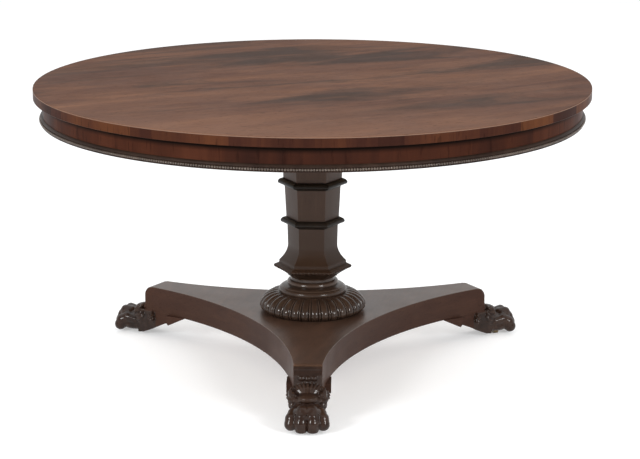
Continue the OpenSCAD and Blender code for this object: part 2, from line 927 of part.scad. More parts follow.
module paw_slab(x, z, l, w, h) {
    translate([castor_reach + x - l / 2, -w / 2, z])
        cube([l, w, h]);
}

module paw(angle) {
    toe_tip = toe_ahead - castor_ahead - toe_r - toe_inset;
    color([0.19, 0.15, 0.13])
        difference() {
            rotate([0, 0, angle])
                intersection() {
                    union() {
                        rotate([90, 0, 0])
                            linear_extrude(height = 2 * heel_half_w, center = true)
                                polygon([[heel_start, platform_z], [heel_start, platform_z - heel_drop],
                                    [arm_l + heel_knee_l, pad_z - heel_l / 2],
                                    [arm_l + sole_start, paw_lift + sole_rise],
                                    [castor_reach, paw_lift], [castor_reach, platform_z]]);
                        hull() {
                            paw_slab(-shank_back, platform_z - toe_r, shank_l, 2 * shank_half_w, toe_r);
                            paw_slab(-shank_back / 3, pad_z + toe_r, shank_l,
                                2 * shank_half_w - toe_r, eps);
                        }
                        hull() {
                            for (side = [-1, 1]) {
                                paw_ball(-pad_back, side * (pad_half_w - pad_rise), pad_z, toe_r);
                                paw_ball(pad_l - pad_back, side * pad_half_w, pad_z + pad_rise, toe_r);
                            }
                        }
                        for (i = [-1.5 : 1 : 1.5])
                            hull() {
                                paw_ball(knuckle_ahead - toe_arc * (abs(i) - 0.5),
                                    i * knuckle_pitch, platform_z - knuckle_drop, knuckle_r);
                                paw_ball(toe_tip - toe_arc * (abs(i) - 0.5),
                                    i * (paw_half_w - toe_r) / 1.5, pad_z, toe_r);
                            }
                    }
                    translate([heel_start, -paw_half_w - eps, paw_lift])
                        cube([toe_reach, 2 * (paw_half_w + eps), platform_z - paw_lift]);
                }
            foot_dowel_sites() dowel(dowel_r + glue_gap, 2 * (dowel_l / 2 + glue_gap));
            castor_places() {
                translate([0, 0, -eps])
                    cylinder(r = recess_r, h = recess_z + eps);
                cylinder(r = stem_head_r + stem_room, h = recess_z + stem_pocket_h, $fn = 48);
                castor_screw_sites() screw_hole(castor_screw_l, small_screw_r, small_head_r, small_head_t);
            }
        }
}

// The brackets slope down behind the paws and end in a lip that stands wider than the arm
heel_drop = 41;
lip_drop = 26;
lip_step = 6;
bracket_lip_x = bracket_start + bracket_l * 0.46;
bracket_lip_z = platform_z - lip_drop;
bracket_flange = 2;
module foot_brackets() {
    color([0.21, 0.16, 0.14])
        difference() {
            for (a = leg_angles)
                rotate([0, 0, a])
                    rotate([90, 0, 0])
                        union() {
                            linear_extrude(height = 2 * bracket_half_w, center = true)
                                polygon([[bracket_start, platform_z], [bracket_lip_x, bracket_lip_z],
                                    [bracket_lip_x + lip_step, bracket_lip_z + lip_step],
                                    [bracket_lip_x + lip_step, platform_z]]);
                            linear_extrude(height = 2 * (arm_end_w + bracket_flange), center = true)
                                polygon([[bracket_lip_x, platform_z],
                                    [bracket_lip_x + lip_step / 2, bracket_lip_z + lip_step],
                                    [heel_start, platform_z - heel_drop], [heel_start, platform_z]]);
                        }
            foot_dowel_sites() dowel(dowel_r + glue_gap, 2 * (dowel_l / 2 + glue_gap));
        }
}

/* The castors, sunk in the paws */

recess_z = 40;
recess_r = 32;
castor_plate_t = 3;
castor_plate_r = recess_r - 2;
crown_t = 3;
crown_r = 19;
cheek_t = 2.5;
cheek_r = 6;
cheek_back = 12;
axle_l = wheel_w + 2 * (rest_gap + cheek_t);
stem_head_r = stem_d / 2 + 2.5;
stem_head_t = 2.5;
stem_room = 1.5;
stem_pocket_h = 5;
castor_screw_l = 12;
crown_z = recess_z - castor_plate_t - rest_gap - crown_t;

// The way that each castor trails at rest, in the order of the legs
castor_turns = [0, -75, 90];
module castor_place(i) {
    translate([castor_reach * cos(leg_angles[i]), castor_reach * sin(leg_angles[i]), 0])
        rotate([0, 0, castor_turns[i]])
            children();
}

module castor_places() {
    for (i = [0 : 2])
        castor_place(i) children();
}

module castor_screw_sites() {
    for (i = [0 : 2])
        rotate([0, 0, 120 * i])
            translate([castor_plate_r - 5, 0, recess_z - castor_plate_t])
                children();
}

module castor_plates() {
    color([0.55, 0.44, 0.25])
        difference() {
            castor_places()
                translate([0, 0, recess_z - castor_plate_t])
                    cylinder(r = castor_plate_r, h = castor_plate_t);
            castor_places() {
                translate([0, 0, recess_z - castor_plate_t - eps])
                    cylinder(r = stem_d / 2 + run_gap, h = castor_plate_t + 2 * eps, $fn = 48);
                castor_screw_sites() screw_hole(castor_screw_l, small_screw_r, small_head_r, small_head_t);
            }
        }
}

module castor_screws() {
    color([0.55, 0.44, 0.25])
        castor_places()
            castor_screw_sites() screw(castor_screw_l, small_screw_r, small_head_r, small_head_t);
}

// The fork with its swivel stem and the axle riveted through its cheeks
module castor_fork(leg) {
    color([0.55, 0.44, 0.25])
        castor_place(leg) {
            translate([0, 0, crown_z])
                cylinder(r = crown_r, h = crown_t);
            translate([0, 0, crown_z])
                cylinder(r = stem_d / 2, h = recess_z + rest_gap + stem_head_t - crown_z, $fn = 48);
            translate([0, 0, recess_z + rest_gap])
                cylinder(r = stem_head_r, h = stem_head_t, $fn = 48);
            for (side = [-1, 1])
                translate([trail, side * (wheel_w / 2 + rest_gap + cheek_t / 2), 0])
                    union() {
                        translate([0, 0, wheel_r])
                            rotate([90, 0, 0])
                                cylinder(r = cheek_r, h = cheek_t, center = true, $fn = 48);
                        translate([-cheek_back, -cheek_t / 2, wheel_r])
                            cube([cheek_back + cheek_r * 0.4, cheek_t, crown_z + crown_t - wheel_r]);
                    }
            translate([trail, 0, wheel_r])
                rotate([90, 0, 0])
                    cylinder(r = axle_d / 2, h = axle_l, center = true, $fn = 48);
        }
}

module castor_wheel(leg) {
    color([0.50, 0.40, 0.24])
        castor_place(leg)
            translate([trail, 0, wheel_r])
                rotate([90, 0, 0])
                    difference() {
                        cylinder(r = wheel_r, h = wheel_w, center = true, $fn = 64);
                        cylinder(r = axle_d / 2 + run_gap, h = wheel_w + 2 * eps, center = true, $fn = 48);
                    }
}

top_boards();
top_veneer();
edge_banding();
frieze_bricks();
frieze_veneer();
bead_moulding();
glue_blocks();
bearer(-1);  // bearer_left
bearer(1);  // bearer_right
bearer_screws();
catch_case();
catch_screws();
catch_bolt();
catch_knob();
catch_keep();
keep_screws();
pillar_block();
pivot_pins();
column_core();
tenon_wedge();
upper_shaft();
upper_collar();
middle_shaft();
lower_collar();
lower_shaft();
column_lip();
turned_neck();
turned_cushion();
cushion_ring();
gadroon_collar();
arm(leg_angles[0]);  // arm_front
arm(leg_angles[1]);  // arm_right
arm(leg_angles[2]);  // arm_left
platform_top_veneer();
platform_side_veneer();
spider_plate();
spider_screws();
pedestal_bolt();
pedestal_washer();
pedestal_nut();
knee(leg_angles[0]);  // knee_front
knee(leg_angles[1]);  // knee_right
knee(leg_angles[2]);  // knee_left
paw(leg_angles[0]);  // paw_front
paw(leg_angles[1]);  // paw_right
paw(leg_angles[2]);  // paw_left
foot_brackets();
knee_dowels();
foot_dowels();
castor_plates();
castor_screws();
castor_fork(0);  // castor_fork_front
castor_fork(1);  // castor_fork_right
castor_fork(2);  // castor_fork_left
castor_wheel(0);  // castor_wheel_front
castor_wheel(1);  // castor_wheel_right
castor_wheel(2);  // castor_wheel_left
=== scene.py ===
import math

import bpy
import numpy as np
from mathutils import Matrix, Vector


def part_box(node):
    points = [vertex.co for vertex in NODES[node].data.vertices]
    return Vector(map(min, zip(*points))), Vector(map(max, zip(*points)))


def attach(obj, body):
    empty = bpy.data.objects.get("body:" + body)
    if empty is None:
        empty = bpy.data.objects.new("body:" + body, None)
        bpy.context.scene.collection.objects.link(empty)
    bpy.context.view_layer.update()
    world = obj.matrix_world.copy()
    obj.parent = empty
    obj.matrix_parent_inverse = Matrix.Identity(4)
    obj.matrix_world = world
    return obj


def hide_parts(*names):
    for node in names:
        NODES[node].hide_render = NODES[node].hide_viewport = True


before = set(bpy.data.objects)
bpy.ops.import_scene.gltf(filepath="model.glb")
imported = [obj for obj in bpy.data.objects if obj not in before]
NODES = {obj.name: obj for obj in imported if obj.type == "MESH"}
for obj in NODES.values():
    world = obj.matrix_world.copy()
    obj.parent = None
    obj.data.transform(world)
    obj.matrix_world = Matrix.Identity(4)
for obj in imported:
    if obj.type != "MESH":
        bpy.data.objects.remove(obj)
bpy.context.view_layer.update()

# The visual model of a round tilt-top centre table. Shapes are in millimetres, and make() turns them
# into metres. Noise scales are per metre, and the floor, the lamps and the camera are in metres.

MM = 0.001
LEG_ANGLES = {"front": -90.0, "right": 30.0, "left": 150.0}


def span(node):
    """The lowest and the highest point of a CAD node, in millimetres above the floor."""
    low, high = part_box(node)
    return round(low.z / MM, 2), round(high.z / MM, 2)


def reach(node):
    """How far a CAD node reaches along X, in millimetres."""
    return round(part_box(node)[1].x / MM, 2)


# Sizes that the frame gives
TABLE_H, TOP_R = span("top_veneer")[1], reach("top_veneer")
FRIEZE_TOP, FRIEZE_R = span("frieze_veneer")[1], reach("frieze_veneer")
PLATFORM_Z, PLATFORM_H = span("knee_front")
ARM_L = round(-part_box("knee_front")[1].y / MM, 2)

# Sizes as in the part's source that no box shows: half the width of a leg's end, the turn of the
# column, the corner radii at the lower and upper ends of its three lengths, and the collars' overhang
ARM_W = 35.3
COLUMN_TURN = -1.5
LOWER_R, MIDDLE_R, UPPER_R = (86.0, 64.7), (67.3, 71.5), (75.0, 80.0)
COLLAR_PROUD = 17.5


# Materials

class Shader:
    """A material's node tree, with short calls for the nodes used here."""

    def __init__(self, name, **settings):
        self.material = bpy.data.materials.new(name)
        self.material.use_nodes = True
        self.tree = self.material.node_tree
        self.tree.nodes.clear()
        out = self.add("ShaderNodeOutputMaterial")
        self.bsdf = self.add("ShaderNodeBsdfPrincipled", settings)
        self.tree.links.new(self.bsdf.outputs["BSDF"], out.inputs["Surface"])

    def add(self, kind, inputs=None, **props):
        node = self.tree.nodes.new(kind)
        for key, value in props.items():
            setattr(node, key, value)
        for key, value in (inputs or {}).items():
            if isinstance(value, bpy.types.NodeSocket):
                self.tree.links.new(value, node.inputs[key])
            else:
                node.inputs[key].default_value = value
        return node

    def math(self, operation, a, b=0.0):
        return self.add("ShaderNodeMath", {0: a, 1: b}, operation=operation).outputs[0]

    def noise(self, vector, scale=1.0, detail=2.0, roughness=0.5, distortion=0.0):
        node = self.add("ShaderNodeTexNoise", {"Vector": vector, "Scale": scale, "Detail": detail,
                                               "Roughness": roughness, "Distortion": distortion})
        return node.outputs["Fac"]

    def ramp(self, fac, stops):
        node = self.add("ShaderNodeValToRGB", {"Fac": fac})
        elements = node.color_ramp.elements
        while len(elements) < len(stops):
            elements.new(0.5)
        for element, (position, colour) in zip(elements, stops):
            element.position = position
            element.color = (*colour, 1.0)
        return node.outputs["Color"]

    def spread(self, fac, low, high, to_low=0.0, to_high=1.0):
        node = self.add("ShaderNodeMapRange", {"Value": fac, "From Min": low, "From Max": high,
                                               "To Min": to_low, "To Max": to_high})
        return node.outputs["Result"]

    def mix(self, fac, a, b):
        node = self.add("ShaderNodeMix", data_type="RGBA")
        for index, value in ((0, fac), (6, a), (7, b)):
            if isinstance(value, bpy.types.NodeSocket):
                self.tree.links.new(value, node.inputs[index])
            else:
                node.inputs[index].default_value = value if index == 0 else (*value, 1.0)
        return node.outputs[2]

    def place(self, scale, turn=0.0, vector=None, shift=(0.0, 0.0, 0.0)):
        """Coordinates in metres on the object, turned about Z and then stretched."""
        if vector is None:
            vector = self.add("ShaderNodeTexCoord").outputs["Object"]
        turned = self.add("ShaderNodeMapping", {"Vector": vector, "Location": shift,
                                                "Rotation": (0.0, 0.0, math.radians(turn))}).outputs[0]
        return self.add("ShaderNodeMapping", {"Vector": turned, "Scale": scale}).outputs[0]

    def around(self, radius):
        """Arc length round the axis, nothing, and height, in metres."""
        parts = self.add("ShaderNodeSeparateXYZ", {0: self.add("ShaderNodeTexCoord").outputs["Object"]})
        angle = self.math("ARCTAN2", parts.outputs["Y"], parts.outputs["X"])
        arc = self.math("MULTIPLY", angle, radius)
        return self.add("ShaderNodeCombineXYZ", {"X": arc, "Z": parts.outputs["Z"]}).outputs[0]

    def set(self, **sockets):
        for key, value in sockets.items():
            socket = self.bsdf.inputs[key.replace("_", " ")]
            if isinstance(value, bpy.types.NodeSocket):
                self.tree.links.new(value, socket)
            else:
                socket.default_value = value

    def bump(self, height, strength, distance=0.001):
        node = self.add("ShaderNodeBump", {"Height": height, "Strength": strength, "Distance": distance})
        self.set(Normal=node.outputs["Normal"])


HOLLOW_DIRT_AND_SHADE = (0.004, 0.003, 0.002)


def wood(name, colours, grain, turn=0.0, ring=None, parts=(1.0, 0.8, 0.3), smoke=0.5, tint=None,
         rough=(0.3, 0.42), coat=0.3, specular=0.5, pores=0.35, pieces=None, painted_light_band=None, faded=None,
         ridge_wear_and_highlight=None):
    """Polished or bare wood. grain is the stretch of its three axes: small along the fibres. ring is the
    radius in millimetres where the grain runs round the axis. parts are the shares of the stripes, the
    broad figure and the fibres in the colour, and smoke darkens patches. pieces is the length in metres of
    each piece of veneer round a ring and how much their tones differ. painted_light_band is the two heights
    between which another colour fades in, and that colour, which paints a highlight on one wood and shade on
    others. faded is the colour of the part nearest to the front. ridge_wear_and_highlight is the colour of
    the ridges, partly wear and partly painted highlight, and with it the hollows darken, partly as dirt and
    partly as painted shade."""
    s = Shader(name)
    base = s.around(ring * MM) if ring else None
    fine = s.place(tuple(g * 5.0 for g in grain), turn, base, (0.3, 0.1, 0.2))
    stripes = s.noise(s.place(grain, turn, base), 1.0, 4.0, 0.6, 0.6)
    fibres = s.noise(fine, 1.0, 3.0, 0.65, 0.2)
    broad = s.noise(s.place(tuple(g * 0.2 for g in grain), turn, base, (0.7, 0.4, 0.5)), 1.0, 4.0, 0.6, 0.9)
    tone = 0.5 - 0.5 * sum(parts)
    for share, value in zip(parts, (stripes, broad, fibres)):
        tone = s.math("ADD", s.math("MULTIPLY", value, share), tone)
    if pieces:
        arc = s.add("ShaderNodeSeparateXYZ", {0: base}).outputs["X"]
        bend = s.math("MULTIPLY", s.noise(s.place((1.0, 1.0, 0.0), 0.0, base), 9.0, 1.0), pieces[0])
        step = s.math("SNAP", s.math("ADD", arc, bend), pieces[0])
        tile = s.add("ShaderNodeTexWhiteNoise", {"W": step}, noise_dimensions="1D").outputs["Value"]
        tone = s.math("ADD", tone, s.spread(tile, 0.0, 1.0, -pieces[1], pieces[1]))
    colour = s.ramp(tone, colours)
    patch_place = s.place(tuple(g * 0.35 for g in grain), turn, base, (2.45, 2.4, 0.3))
    patches = s.noise(patch_place, 1.0, 5.0, 0.62, 0.8)
    dark = s.spread(patches, 0.50, 0.64, 0.0, smoke)
    if faded:
        front = s.add("ShaderNodeSeparateXYZ", {0: s.place((1.0, 1.0, 1.0))}).outputs["Y"]
        dark = s.math("MULTIPLY", dark, s.spread(front, -0.50, -0.25, 0.10, 1.0))
        colour = s.mix(s.spread(front, -0.62, -0.30, 0.45, 0.0), colour, faded)
    colour = s.mix(dark, colour, tint or colours[0][1])
    open_pores = s.spread(s.noise(fine, 2.3, 1.0, 0.5), 0.62, 0.70, 0.0, pores)
    colour = s.mix(open_pores, colour, tuple(c * 0.35 for c in colours[0][1]))
    if ridge_wear_and_highlight:
        # Pointiness is 0.5 on a flat face, more on a ridge and less in a hollow. Hollows darken, partly as
        # dirt and partly as painted shade, and ridges lighten, partly as wear and partly as a painted
        # highlight
        ridge = s.add("ShaderNodeNewGeometry").outputs["Pointiness"]
        colour = s.mix(s.spread(ridge, 0.50, 0.40, 0.0, 0.85), colour, HOLLOW_DIRT_AND_SHADE)
        colour = s.mix(s.spread(ridge, 0.51, 0.60, 0.0, 0.80), colour, ridge_wear_and_highlight)
    if painted_light_band:
        # Painted light: another colour fades in between two heights, a painted highlight on one wood and
        # painted shade on others
        height = s.add("ShaderNodeSeparateXYZ", {0: s.place((1.0, 1.0, 1.0))}).outputs["Z"]
        colour = s.mix(s.spread(height, painted_light_band[0] * MM, painted_light_band[1] * MM), colour, painted_light_band[2])
    wear = s.noise(s.place((9.0, 9.0, 9.0)), 1.0, 4.0, 0.6)
    s.set(Base_Color=colour, Roughness=s.spread(wear, 0.3, 0.7, rough[0], rough[1]),
          Coat_Weight=coat, Coat_Roughness=0.12, Specular_IOR_Level=specular)
    s.bump(s.math("SUBTRACT", s.math("MULTIPLY", fibres, 0.3), open_pores), 0.25, 0.00025)
    return s.material


def metal(name, colour, dark, rough=(0.3, 0.5), scale=60.0):
    s = Shader(name, Metallic=1.0)
    where = s.place((1.0, 1.0, 1.0))
    spots = s.noise(where, scale, 5.0, 0.65)
    tarnish = s.spread(s.noise(where, scale * 0.35, 3.0, 0.6), 0.42, 0.66)
    s.set(Base_Color=s.mix(tarnish, colour, dark),
          Roughness=s.spread(spots, 0.3, 0.7, rough[0], rough[1]))
    s.bump(spots, 0.2, 0.0002)
    return s.material


TOP_WOOD = wood(
    "rosewood_top", [(0.22, (0.064, 0.033, 0.024)), (0.42, (0.092, 0.046, 0.032)),
                     (0.58, (0.122, 0.060, 0.038)), (0.78, (0.170, 0.082, 0.048))],
    (4.0, 17.0, 17.0), turn=-28.0, parts=(0.6, 0.9, 0.2), smoke=0.8, tint=(0.036, 0.026, 0.022),
    rough=(0.46, 0.54), coat=0.0, specular=0.012, faded=(0.178, 0.090, 0.056))
# The light band at the top of the edge is a painted highlight along the arris.
EDGE_WOOD = wood(
    "rosewood_edge", [(0.22, (0.018, 0.007, 0.005)), (0.45, (0.034, 0.012, 0.008)),
                      (0.60, (0.058, 0.020, 0.010)), (0.80, (0.095, 0.034, 0.013))],
    (12.0, 12.0, 1.5), ring=TOP_R, parts=(0.4, 0.8, 0.15), smoke=0.4, rough=(0.34, 0.44), coat=0.0,
    specular=0.02, pieces=(0.065, 0.14), painted_light_band=(TABLE_H - 3.7, TABLE_H - 2.3, (0.19, 0.118, 0.084)))
# The dark band at the top of the frieze is painted shadow under the overhanging top.
FRIEZE_WOOD = wood(
    "rosewood_frieze", [(0.22, (0.014, 0.006, 0.005)), (0.45, (0.026, 0.010, 0.007)),
                        (0.60, (0.042, 0.014, 0.008)), (0.80, (0.070, 0.023, 0.012))],
    (10.0, 10.0, 1.5), ring=FRIEZE_R, parts=(0.4, 0.9, 0.15), smoke=0.3, rough=(0.30, 0.40), coat=0.0,
    specular=0.01, pieces=(0.19, 0.05),
    painted_light_band=(FRIEZE_TOP - 19.0, FRIEZE_TOP - 8.0, (0.007, 0.004, 0.003)))
# The column darkens downwards from 500 mm to 340 mm: painted shade on the lower shaft, the flare and the lip.
DARK_WOOD = wood(
    "rosewood_column", [(0.25, (0.033, 0.016, 0.010)), (0.45, (0.046, 0.024, 0.015)),
                        (0.58, (0.058, 0.031, 0.020)), (0.78, (0.078, 0.043, 0.028))],
    (50.0, 50.0, 5.0), parts=(0.4, 0.4, 0.15), smoke=0.25, rough=(0.36, 0.46), coat=0.04,
    specular=0.17, painted_light_band=(500.0, 340.0, (0.026, 0.0135, 0.008)))
# Its ridges are painted lighter, partly as wear and partly as a painted highlight, and its hollows darker,
# partly as dirt and partly as painted shade.
TURNED_WOOD = wood(
    "rosewood_turned", [(0.25, (0.019, 0.011, 0.007)), (0.50, (0.032, 0.018, 0.012)),
                        (0.78, (0.050, 0.030, 0.020))],
    (40.0, 40.0, 14.0), parts=(0.6, 0.5, 0.2), smoke=0.3, rough=(0.34, 0.44), coat=0.42, specular=0.10,
    ridge_wear_and_highlight=(0.080, 0.050, 0.035))
EBONY = wood(
    "ebonised_wood", [(0.25, (0.006, 0.005, 0.004)), (0.55, (0.011, 0.008, 0.006)),
                      (0.78, (0.018, 0.012, 0.009))],
    (50.0, 50.0, 9.0), parts=(0.6, 0.5, 0.2), smoke=0.3, rough=(0.34, 0.44), coat=0.12, specular=0.10)
# The thin dark line at the top of the sides is painted shade just under the top edge; the knees' ends share
# it.
PLATFORM_WOOD = wood(
    "rosewood_platform", [(0.25, (0.034, 0.016, 0.011)), (0.45, (0.042, 0.020, 0.014)),
                          (0.58, (0.050, 0.024, 0.016)), (0.78, (0.066, 0.032, 0.021))],
    (9.0, 9.0, 40.0), parts=(0.5, 0.5, 0.15), smoke=0.2, rough=(0.36, 0.46), coat=0.0, specular=0.07,
    painted_light_band=(PLATFORM_H - 2.5, PLATFORM_H - 0.8, (0.008, 0.004, 0.003)))
PLATFORM_TOP_WOOD = wood(
    "rosewood_platform_top", [(0.25, (0.044, 0.024, 0.016)), (0.45, (0.064, 0.035, 0.023)),
                              (0.58, (0.084, 0.046, 0.030)), (0.78, (0.118, 0.066, 0.044))],
    (30.0, 6.0, 30.0), turn=15.0, parts=(0.6, 0.6, 0.2), smoke=0.3, rough=(0.34, 0.42), coat=0.03,
    specular=0.42)
# Its ridges are painted lighter, partly as wear and partly as a painted highlight, and its hollows darker,
# partly as dirt and partly as painted shade.
CARVED_WOOD = wood(
    "carved_wood", [(0.25, (0.012, 0.006, 0.004)), (0.50, (0.024, 0.012, 0.008)),
                    (0.78, (0.044, 0.024, 0.016))],
    (30.0, 30.0, 30.0), parts=(0.8, 0.6, 0.2), smoke=0.4, rough=(0.34, 0.44), coat=0.34, specular=0.06,
    ridge_wear_and_highlight=(0.060, 0.037, 0.026))
MOULDING_WOOD = wood(
    "rosewood_moulding", [(0.25, (0.014, 0.008, 0.006)), (0.50, (0.024, 0.014, 0.010)),
                          (0.78, (0.040, 0.024, 0.017))],
    (30.0, 30.0, 30.0), parts=(0.6, 0.5, 0.2), smoke=0.3, rough=(0.36, 0.46), coat=0.0, specular=0.06)
# The pearls are painted lighter than the fillet, partly as wear and partly as a painted highlight.
WORN_AND_HIGHLIT_PEARLS = wood(
    "worn_and_highlit_pearls", [(0.25, (0.055, 0.039, 0.031)), (0.50, (0.086, 0.064, 0.051)),
                    (0.78, (0.135, 0.103, 0.083))],
    (30.0, 30.0, 30.0), parts=(0.8, 1.0, 0.2), smoke=0.5, rough=(0.30, 0.40), coat=0.3, specular=0.2)
PINE = wood(
    "bare_pine", [(0.25, (0.20, 0.115, 0.055)), (0.50, (0.30, 0.185, 0.095)),
                  (0.75, (0.38, 0.25, 0.14))],
    (5.0, 60.0, 60.0), smoke=0.3, rough=(0.65, 0.80), coat=0.0, pores=0.15)
MAHOGANY = wood(
    "bare_mahogany", [(0.25, (0.10, 0.045, 0.022)), (0.50, (0.16, 0.075, 0.038)),
                      (0.75, (0.22, 0.11, 0.058))],
    (60.0, 5.0, 60.0), smoke=0.4, rough=(0.55, 0.70), coat=0.0, pores=0.4)
BEECH = wood(
    "bare_beech", [(0.25, (0.34, 0.21, 0.11)), (0.50, (0.44, 0.29, 0.16)), (0.75, (0.50, 0.35, 0.21))],
    (70.0, 70.0, 8.0), smoke=0.2, rough=(0.55, 0.70), coat=0.0, pores=0.2)
BRASS = metal("worn_brass", (0.50, 0.34, 0.13), (0.20, 0.13, 0.06), (0.25, 0.45))
OLD_BRASS = metal("dull_brass", (0.26, 0.18, 0.08), (0.07, 0.05, 0.03), (0.38, 0.60))
IRON = metal("dull_iron", (0.20, 0.19, 0.18), (0.08, 0.06, 0.05), (0.45, 0.65))
BLACK_IRON = metal("black_iron", (0.05, 0.048, 0.045), (0.02, 0.018, 0.016), (0.5, 0.7))

NODE_MATERIALS = {
    "top_boards": PINE, "top_veneer": TOP_WOOD, "edge_banding": EDGE_WOOD, "frieze_bricks": PINE,
    "frieze_veneer": FRIEZE_WOOD, "glue_blocks": PINE, "bearer_left": MAHOGANY, "bearer_right": MAHOGANY,
    "bearer_screws": IRON, "catch_case": BRASS, "catch_screws": BRASS, "catch_bolt": BRASS,
    "catch_knob": BRASS, "catch_keep": BRASS, "keep_screws": BRASS, "pillar_block": MAHOGANY,
    "pivot_pins": IRON, "column_core": BEECH, "tenon_wedge": BEECH, "arm_front": MAHOGANY,
    "arm_right": MAHOGANY, "arm_left": MAHOGANY, "platform_top_veneer": PLATFORM_TOP_WOOD,
    "platform_side_veneer": PLATFORM_WOOD, "spider_plate": BLACK_IRON, "spider_screws": IRON,
    "pedestal_bolt": IRON, "pedestal_washer": IRON, "pedestal_nut": IRON, "foot_brackets": PLATFORM_WOOD,
    "knee_dowels": BEECH, "foot_dowels": BEECH, "castor_plates": OLD_BRASS, "castor_screws": OLD_BRASS,
}
for leg in LEG_ANGLES:
    NODE_MATERIALS["castor_fork_" + leg] = OLD_BRASS
    NODE_MATERIALS["castor_wheel_" + leg] = OLD_BRASS
for node_name, node_material in NODE_MATERIALS.items():
    node = NODES[node_name]
    node.data.materials.clear()
    node.data.materials.append(node_material)


# Meshes

def make(name, verts, faces, material, body, replaces, crease=32.0):
    """A mesh piece from points in millimetres, with its body and the nodes it stands for."""
    mesh = bpy.data.meshes.new(name)
    mesh.from_pydata((np.asarray(verts, float) * MM).tolist(), [], faces)
    mesh.shade_smooth()
    mesh.set_sharp_from_angle(angle=math.radians(crease))
    mesh.materials.append(material)
    piece = bpy.data.objects.new(name, mesh)
    bpy.context.scene.collection.objects.link(piece)
    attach(piece, body)
    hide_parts(*replaces)
    return piece


def wrap(rows, caps=True):
    """Verts and faces of a closed skin over rows of points (rows, around, 3), lowest row first."""
    count, around = rows.shape[:2]
    index = np.arange(count * around).reshape(count, around)
    low, high = index[:-1], index[1:]
    quads = np.stack([low, np.roll(low, -1, 1), np.roll(high, -1, 1), high], -1).reshape(-1, 4)
    faces = quads.tolist()
    if caps:
        faces.append(index[0][::-1].tolist())
        faces.append(index[-1].tolist())
    return rows.reshape(-1, 3), faces


def join(parts):
    """One list of verts and faces from several."""
    verts, faces, start = [], [], 0
    for some_verts, some_faces in parts:
        verts.append(np.asarray(some_verts, float))
        faces += [[start + i for i in face] for face in some_faces]
        start += len(some_verts)
    return np.concatenate(verts), faces


def turned_rows(outline, around=192):
    """Rows of a turned piece: outline is (radius, height), lowest first."""
    angles = np.linspace(0.0, 2.0 * np.pi, around, endpoint=False)
    outline = np.asarray(outline, float)
    return np.stack([outline[:, :1] * np.cos(angles), outline[:, :1] * np.sin(angles),
                     np.repeat(outline[:, 1:], around, 1)], -1)


def hex_rows(outline, soft=1.2):
    """Rows of a six-sided piece: outline is (corner radius, height), and the corners are softened."""
    arc = np.radians(np.linspace(-30.0, 30.0, 5))
    rows = []
    for radius, height in outline:
        ring = []
        for corner in np.radians(np.arange(6) * 60.0 + COLUMN_TURN):
            centre = radius - soft / math.cos(math.radians(30.0))
            ring += [(centre * math.cos(corner) + soft * math.cos(corner + a),
                      centre * math.sin(corner) + soft * math.sin(corner + a), height) for a in arc]
        rows.append(ring)
    return np.asarray(rows)


def bulge(x, y, a, b, steps=10):
    """Points of a quarter ellipse from (x + a, y) to (x, y + b)."""
    t = np.linspace(0.0, np.pi / 2.0, steps + 1)
    return list(zip(x + a * np.cos(t), y + b * np.sin(t)))


def ball(centre, radii, around=10, rings=6):
    """A small closed ellipsoid of its own rings, for beads and pearls."""
    tilt = np.linspace(-np.pi / 2.0, np.pi / 2.0, rings + 1)[1:-1]
    angles = np.linspace(0.0, 2.0 * np.pi, around, endpoint=False)
    rows = np.stack([np.outer(np.cos(tilt), np.cos(angles)) * radii[0],
                     np.outer(np.cos(tilt), np.sin(angles)) * radii[1],
                     np.outer(np.sin(tilt), np.ones(around)) * radii[2]], -1)
    return wrap(rows + np.asarray(centre))


def raised(low, outline):
    """An outline whose heights count from low."""
    return [(radius, low + height) for radius, height in outline]


# The column

def hex_piece(node, outline, material, soft=1.2):
    """A six-sided piece of the column."""
    verts, faces = wrap(hex_rows(outline, soft))
    make(node + "_carved", verts, faces, material, "pedestal", (node,))


def shaft(node, radii):
    """A plain length of the column, from the corner radius at its foot to the one at its head."""
    hex_piece(node, list(zip(radii, span(node))), DARK_WOOD)


def collar(node, above, below):
    """A mitred collar between the corner radii of the lengths above and below it."""
    low, high = span(node)
    height = high - low
    nose, tip = below + COLLAR_PROUD, low + height * 0.52
    outline = [(below, low), (below + 1.6, low + height * 0.05), (below + 2.2, low + height * 0.10),
               (nose - 2.2, tip - 3.6), (nose - 0.7, tip - 2.2), (nose, tip)]
    outline += bulge(above, tip, nose - above, high - tip, 10)[1:]
    hex_piece(node, outline, EBONY, 0.8)


def flared_shaft(node, radii, seam):
    """The lowest length: a plain band on the lip, a hollow flare and a taper that widens upwards."""
    foot, head = radii
    outline = [(foot, seam), (foot, seam + 4.8), (foot - 0.8, seam + 6.0)]
    outline += [(63.4 + 21.2 * (1.0 - t) ** 2.0, seam + 6.8 + 41.0 * t) for t in np.linspace(0.0, 1.0, 21)]
    hex_piece(node, outline + [(head, span(node)[1])], DARK_WOOD)


def column_lip(node, seam):
    """The projecting lip under the flare, with a row of small beads along its nose."""
    low = span(node)[0]
    outline = raised(low, [(62.4, 0.0), (63.6, 3.0), (74.0, 10.0), (88.0, 18.2), (95.6, 21.6), (98.8, 23.6),
                           (100.2, 26.0), (99.8, 28.4), (97.6, 30.4), (92.0, 32.2), (88.0, 33.6)])
    parts = [wrap(hex_rows(outline + [(86.4, seam)], 1.6))]
    beads, gap, out = 10, 9.6, 98.6 * math.cos(math.radians(30.0))
    for side in range(6):
        facing = math.radians(side * 60.0 + 30.0 + COLUMN_TURN)
        for i in range(beads):
            across = (i - (beads - 1) / 2.0) * gap
            x = out * math.cos(facing) - across * math.sin(facing)
            y = out * math.sin(facing) + across * math.cos(facing)
            parts.append(ball((x, y, low + 26.2), (3.2, 3.2, 3.4)))
    verts, faces = join(parts)
    make(node + "_carved", verts, faces, DARK_WOOD, "pedestal", (node,))


